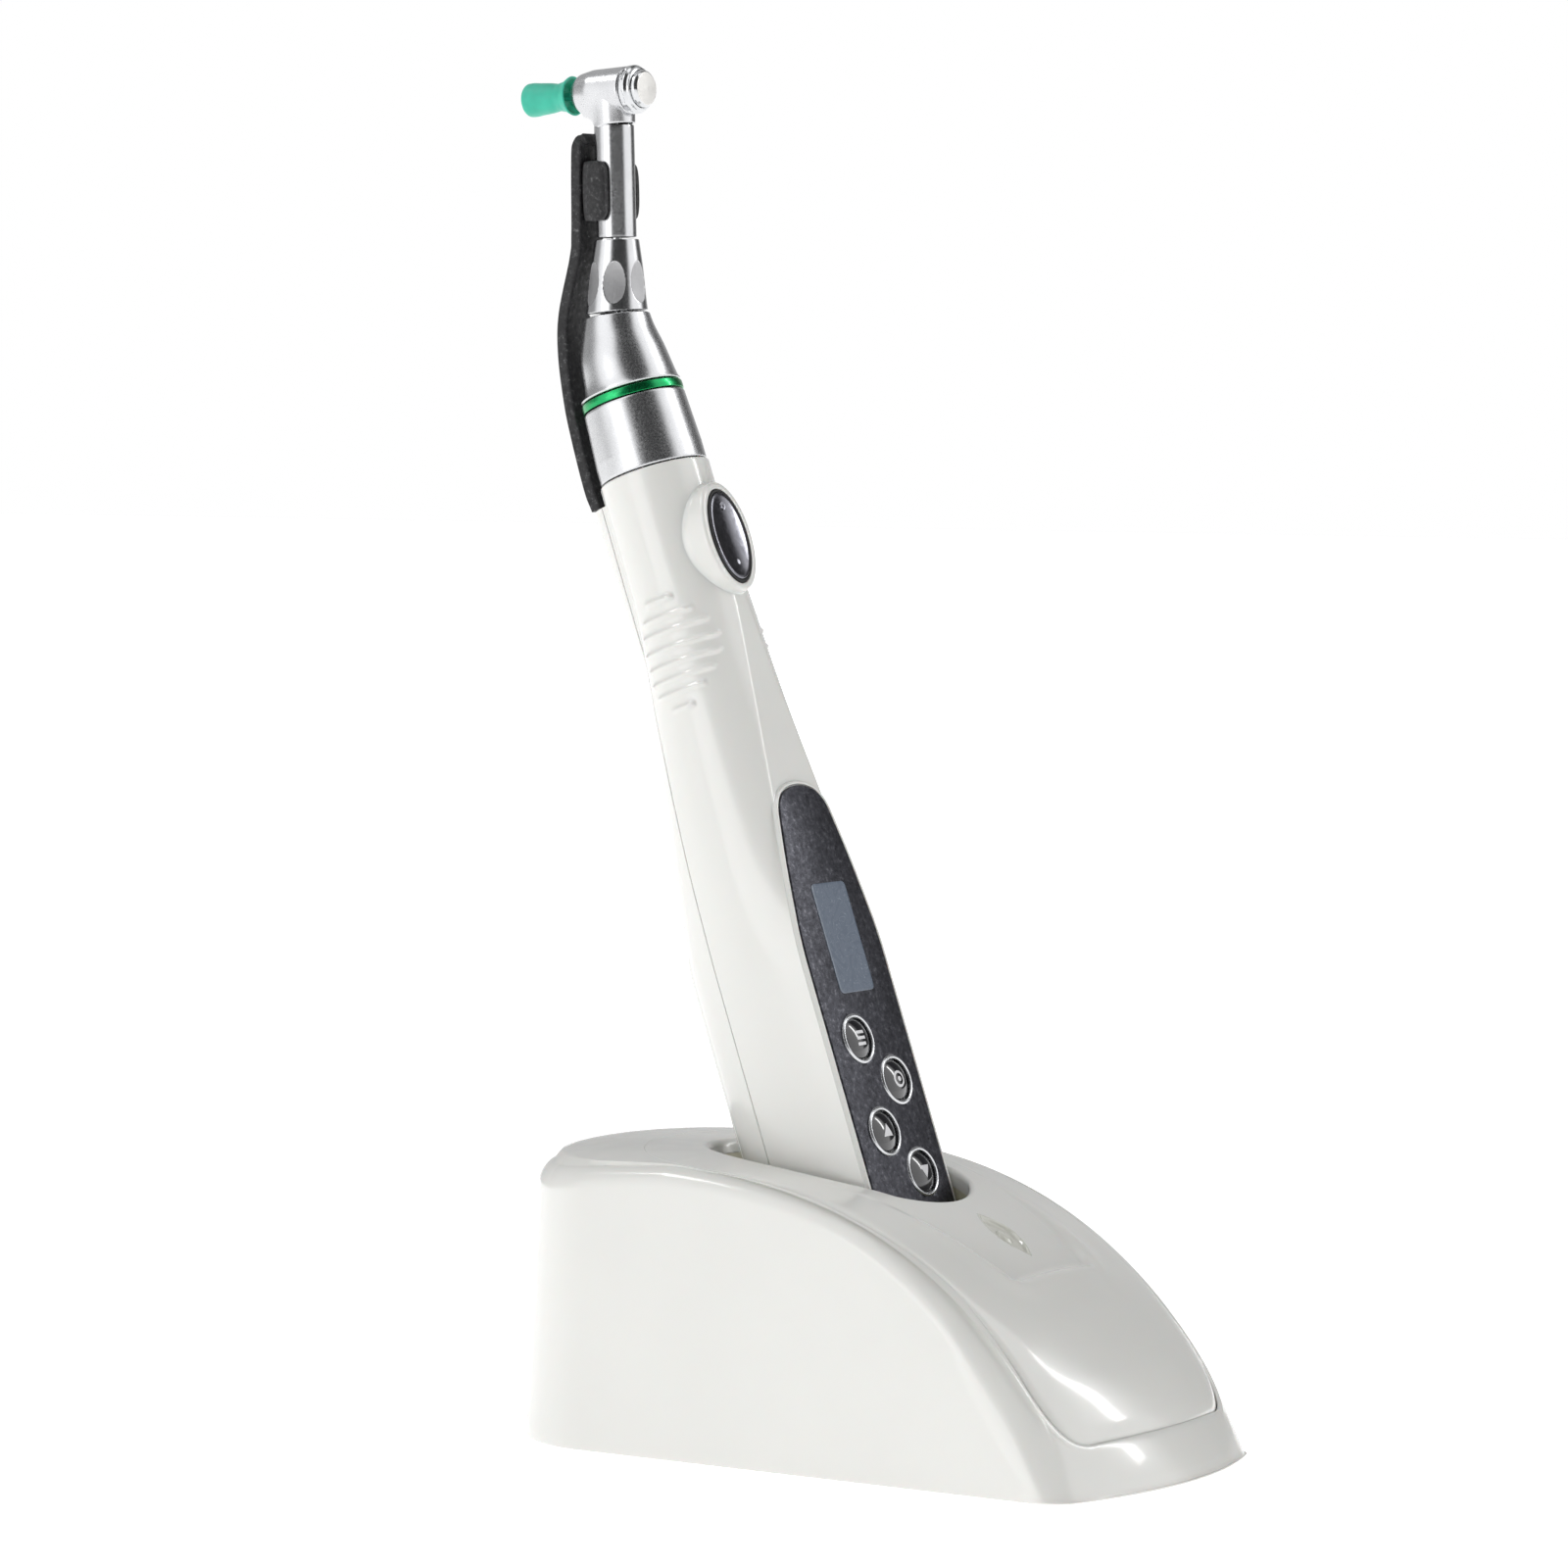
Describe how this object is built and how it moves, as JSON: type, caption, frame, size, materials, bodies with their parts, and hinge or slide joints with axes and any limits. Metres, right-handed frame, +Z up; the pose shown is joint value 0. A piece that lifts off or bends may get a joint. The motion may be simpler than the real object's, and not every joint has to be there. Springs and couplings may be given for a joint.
{
  "type": "endodontic motor",
  "caption": "Cordless endodontic motor handpiece with contra-angle head, keypad and screen, standing in a sloped desktop charging dock.",
  "frame": {"origin": "middle of the object's plan, on the surface that the dock stands on", "axes": "+X to the dock's nose and the keypad side, +Z up, the object symmetric about y = 0"},
  "size_m": [0.1515, 0.071, 0.2661],
  "materials": {
    "white_plastic": "glossy moulded ABS",
    "socket_plastic": "satin moulded ABS",
    "black_plastic": "matt moulded",
    "panel": "dark brushed satin film",
    "silver_trim": "satin plated",
    "black_gloss": "gloss",
    "screen_glass": "tinted, glossy",
    "clear_plastic": "clear moulded",
    "satin_steel": "satin",
    "polished_steel": "polished",
    "frosted_steel": "blasted",
    "green_ring": "anodised",
    "teal_silicone": "moulded silicone",
    "charcoal": "mottled, textured",
    "rubber": "matt",
    "circuit_board": "solder mask",
    "contact_gold": "plated",
    "cell_wrap": "shrink sleeve"
  },
  "bodies": {
    "dock": {"dock_shell": "white_plastic", "dock_deck": "white_plastic", "socket_cup": "socket_plastic", "dock_base_plate": "white_plastic", "charging_board": "circuit_board", "power_inlet": "black_plastic", "contact_pin_block": "black_plastic", "power_lamp_lens": "clear_plastic", "power_lamp_led": "clear_plastic", "rubber_foot_1": "rubber", "rubber_foot_2": "rubber", "rubber_foot_3": "rubber", "rubber_foot_4": "rubber", "base_screw_1": "satin_steel", "base_screw_2": "satin_steel", "base_screw_3": "satin_steel", "base_screw_4": "satin_steel"},
    "charge_pin_left": {"charge_pin_left": "contact_gold"},
    "charge_pin_right": {"charge_pin_right": "contact_gold"},
    "handpiece": {"front_shell": "white_plastic", "rear_shell": "white_plastic", "battery_cover": "white_plastic", "control_panel": "panel", "lcd_window": "screen_glass", "lcd_module": "black_plastic", "key_ring_program": "silver_trim", "key_ring_select": "silver_trim", "key_ring_up": "silver_trim", "key_ring_down": "silver_trim", "switch_gasket": "rubber", "main_board": "circuit_board", "battery_cell": "cell_wrap", "motor_can": "satin_steel", "motor_nose": "polished_steel", "charge_contact_left": "contact_gold", "charge_contact_right": "contact_gold", "shell_screw_lower": "satin_steel", "shell_screw_upper": "satin_steel"},
    "key_program": {"key_program": "black_gloss"},
    "key_select": {"key_select": "black_gloss"},
    "key_up": {"key_up": "black_gloss"},
    "key_down": {"key_down": "black_gloss"},
    "motor_switch": {"motor_switch": "black_gloss"},
    "rotor": {"motor_rotor": "satin_steel"},
    "contra_angle": {"barrel_sleeve": "satin_steel", "color_ring": "green_ring", "upper_barrel": "satin_steel", "reduction_gearbox": "satin_steel", "neck_collar": "satin_steel", "neck_tube": "polished_steel", "neck_bearing": "satin_steel", "head_shell": "satin_steel", "head_cap_ring": "polished_steel", "cap_spring": "polished_steel", "back_bracket": "charcoal"},
    "input_shaft": {"input_shaft": "polished_steel"},
    "drive_shaft": {"drive_shaft": "polished_steel"},
    "chuck_spindle": {"chuck_spindle": "polished_steel"},
    "push_cap": {"push_cap": "frosted_steel"},
    "dust_plug": {"dust_plug": "teal_silicone"}
  },
  "joints": [
    {"name": "handpiece_lift", "type": "slide", "parent": "dock", "child": "handpiece", "axis": [-0.3289, 0, 0.9444], "range_m": [0, 0.06]},
    {"name": "contra_angle_pull", "type": "slide", "parent": "handpiece", "child": "contra_angle", "axis": [-0.3289, 0, 0.9444], "range_m": [0, 0.022]},
    {"name": "key_program_press", "type": "slide", "parent": "handpiece", "child": "key_program", "axis": [-0.9444, 0, -0.3289], "range_m": [0, 0.0008], "stiffness_N_per_m": 1500},
    {"name": "key_select_press", "type": "slide", "parent": "handpiece", "child": "key_select", "axis": [-0.9444, 0, -0.3289], "range_m": [0, 0.0008], "stiffness_N_per_m": 1500},
    {"name": "key_up_press", "type": "slide", "parent": "handpiece", "child": "key_up", "axis": [-0.9444, 0, -0.3289], "range_m": [0, 0.0008], "stiffness_N_per_m": 1500},
    {"name": "key_down_press", "type": "slide", "parent": "handpiece", "child": "key_down", "axis": [-0.9444, 0, -0.3289], "range_m": [0, 0.0008], "stiffness_N_per_m": 1500},
    {"name": "motor_switch_press", "type": "slide", "parent": "handpiece", "child": "motor_switch", "axis": [-0.9444, 0, -0.3289], "range_m": [0, 0.0008], "stiffness_N_per_m": 1500},
    {"name": "push_cap_press", "type": "slide", "parent": "contra_angle", "child": "push_cap", "axis": [-0.9981, 0, -0.061], "range_m": [0, 0.0008], "stiffness_N_per_m": 1500},
    {"name": "rotor_spin", "type": "hinge", "parent": "handpiece", "child": "rotor", "pos_m": [0.00846, 0, 0.03088], "axis": [-0.3289, 0, 0.9444], "continuous": true},
    {"name": "input_shaft_spin", "type": "hinge", "parent": "contra_angle", "child": "input_shaft", "pos_m": [0.00846, 0, 0.03088], "axis": [-0.3289, 0, 0.9444], "continuous": true},
    {"name": "drive_shaft_spin", "type": "hinge", "parent": "contra_angle", "child": "drive_shaft", "pos_m": [-0.05431, 0, 0.216], "axis": [-0.0264, 0, 0.9997], "continuous": true},
    {"name": "chuck_spin", "type": "hinge", "parent": "contra_angle", "child": "chuck_spindle", "pos_m": [-0.0555, 0, 0.261], "axis": [0.9981, 0, 0.061], "continuous": true},
    {"name": "dust_plug_pull", "type": "slide", "parent": "contra_angle", "child": "dust_plug", "axis": [-0.9981, 0, -0.061], "range_m": [0, 0.012]},
    {"name": "charge_pin_left_press", "type": "slide", "parent": "dock", "child": "charge_pin_left", "axis": [0.3289, 0, -0.9444], "range_m": [0, 0.001], "stiffness_N_per_m": 800},
    {"name": "charge_pin_right_press", "type": "slide", "parent": "dock", "child": "charge_pin_right", "axis": [0.3289, 0, -0.9444], "range_m": [0, 0.001], "stiffness_N_per_m": 800}
  ],
  "couplings": [
    {"joint": "input_shaft_spin", "follows": "rotor_spin", "ratio": 1},
    {"joint": "drive_shaft_spin", "follows": "rotor_spin", "ratio": 0.125},
    {"joint": "chuck_spin", "follows": "rotor_spin", "ratio": 0.0625}
  ]
}
